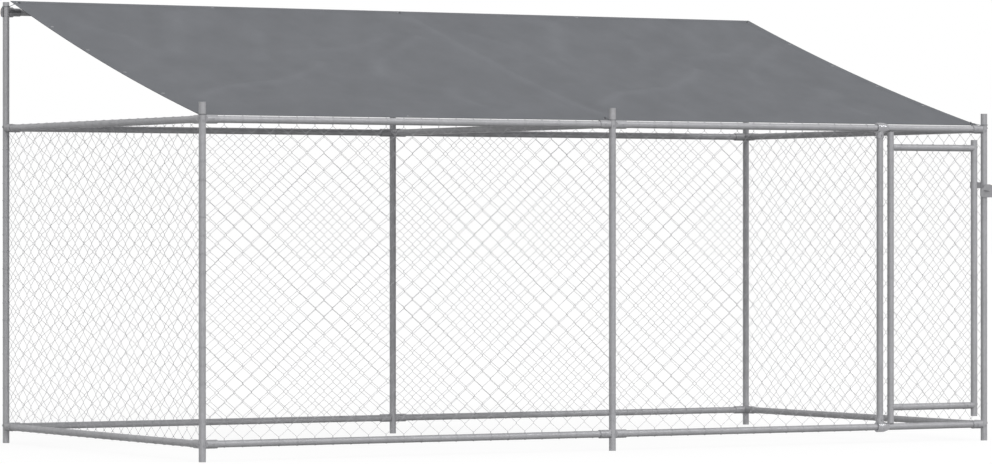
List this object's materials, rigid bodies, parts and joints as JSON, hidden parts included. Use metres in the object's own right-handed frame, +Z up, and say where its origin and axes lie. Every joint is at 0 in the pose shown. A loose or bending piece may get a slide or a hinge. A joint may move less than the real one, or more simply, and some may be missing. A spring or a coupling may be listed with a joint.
{
  "type": "outdoor dog kennel run",
  "caption": "Free-standing dog run: galvanised tube frame with chain-link walls, a hinged end door with a hasp latch, and a sloping cloth roof from tall back posts to a low front.",
  "frame": {"origin": "on the ground, under the middle of the part's box", "axes": "+X along the run towards the door end, +Y from the low front to the high back, +Z up"},
  "size_m": [4.0648, 2.0634, 2.004],
  "materials": {
    "tube_steel": "galvanised, satin",
    "fitting_metal": "galvanised, satin",
    "bolt_steel": "zinc plated",
    "latch_steel": "galvanised plate",
    "net_wire": "galvanised wire",
    "roof_cloth": "coated woven sheet",
    "tie_cord": "elastic cord",
    "eyelet_metal": "pressed ring",
    "bush_plastic": "moulded"
  },
  "bodies": {
    "frame": {"post_front_left": "tube_steel", "post_front_middle": "tube_steel", "post_front_right": "tube_steel", "post_back_left": "tube_steel", "post_back_middle": "tube_steel", "post_back_right": "tube_steel", "door_post": "tube_steel", "rail_front_top_left": "tube_steel", "rail_front_top_right": "tube_steel", "rail_front_low_left": "tube_steel", "rail_front_low_right": "tube_steel", "rail_back_top_left": "tube_steel", "rail_back_top_right": "tube_steel", "rail_back_low_left": "tube_steel", "rail_back_low_right": "tube_steel", "rail_left_top": "tube_steel", "rail_left_low": "tube_steel", "rail_right_top": "tube_steel", "rail_right_low": "tube_steel", "rail_middle": "tube_steel", "rail_high_left": "tube_steel", "rail_high_right": "tube_steel", "cups_front": "fitting_metal", "cups_back": "fitting_metal", "cups_left": "fitting_metal", "cups_right": "fitting_metal", "cups_middle": "fitting_metal", "cups_high": "fitting_metal", "high_plates": "fitting_metal", "bolts_front": "bolt_steel", "bolts_back": "bolt_steel", "cup_screws": "bolt_steel", "tee_top": "fitting_metal", "tee_low": "fitting_metal", "tee_bolts": "bolt_steel", "hinge_pins": "bolt_steel", "net_front_left": "net_wire", "net_front_right": "net_wire", "net_left": "net_wire", "net_right": "net_wire", "net_back_left": "net_wire", "net_back_right": "net_wire", "roof_sheet": "roof_cloth", "roof_eyelets": "eyelet_metal", "roof_ties": "tie_cord", "latch_keeper": "latch_steel", "keeper_bolt": "bolt_steel"},
    "door": {"stile_hinge": "tube_steel", "stile_latch": "tube_steel", "door_rail_top": "tube_steel", "door_rail_low": "tube_steel", "door_plugs": "fitting_metal", "door_bolts": "bolt_steel", "door_screws": "bolt_steel", "hinge_bushes": "bush_plastic", "net_door": "net_wire", "latch_clamp": "latch_steel", "latch_pin": "bolt_steel"},
    "latch_leaf": {"latch_leaf": "latch_steel"}
  },
  "joints": [
    {"name": "door_swing", "type": "hinge", "parent": "frame", "child": "door", "pos_m": [1.46685, -0.9913, 0.75], "axis": [0, 0, -1], "range_deg": [0, 135]},
    {"name": "latch_swing", "type": "hinge", "parent": "door", "child": "latch_leaf", "pos_m": [1.96035, -1.0107, 1.146], "axis": [0, 0, -1], "range_deg": [0, 140]}
  ]
}
